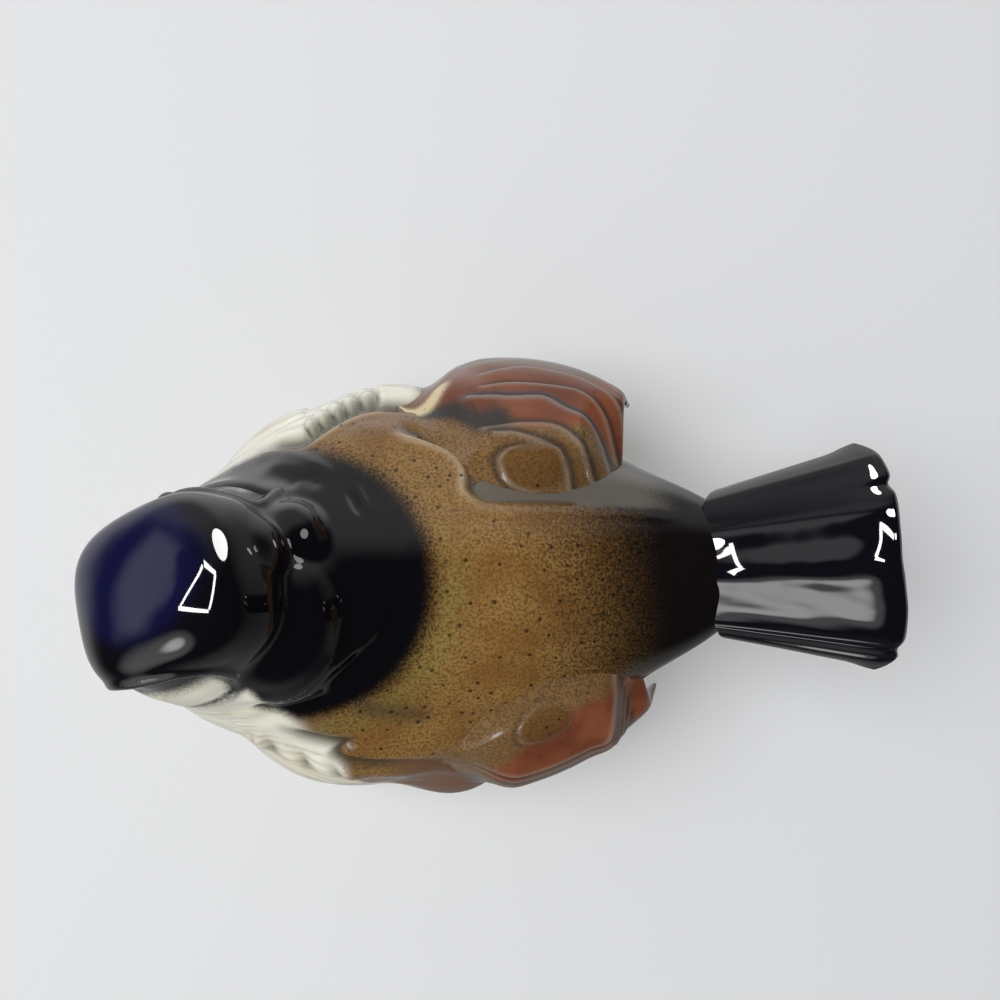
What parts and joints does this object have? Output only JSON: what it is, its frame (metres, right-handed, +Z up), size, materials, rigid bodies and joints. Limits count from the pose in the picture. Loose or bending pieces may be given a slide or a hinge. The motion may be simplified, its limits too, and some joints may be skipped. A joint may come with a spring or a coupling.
{
  "type": "porcelain sparrow figurine",
  "caption": "Glazed slip-cast songbird resting on its belly, head turned and bowed, wings half open against the flanks, tail fanned and cocked up.",
  "frame": {"origin": "middle of the flat belly foot, on the surface the bird rests on", "axes": "+X towards the tail, the bird looks along -X, +Y to the bird's right, +Z up"},
  "size_m": [0.1195, 0.0746, 0.0796],
  "materials": {
    "body_glaze": "gloss glaze over airbrushed ochre with fine dark speckle, black hood and cream breast",
    "wing_glaze": "gloss glaze over airbrushed rust, ochre and grey feathers",
    "black_glaze": "gloss blue-black glaze",
    "horn_glaze": "gloss dark horn glaze"
  },
  "bodies": {
    "root": {"body_shell": "body_glaze", "head_shell": "black_glaze", "tail": "black_glaze", "wing_left": "wing_glaze", "wing_right": "wing_glaze", "beak": "horn_glaze", "eye_left": "black_glaze", "eye_right": "black_glaze", "foot_left": "horn_glaze", "foot_right": "horn_glaze"}
  },
  "joints": []
}
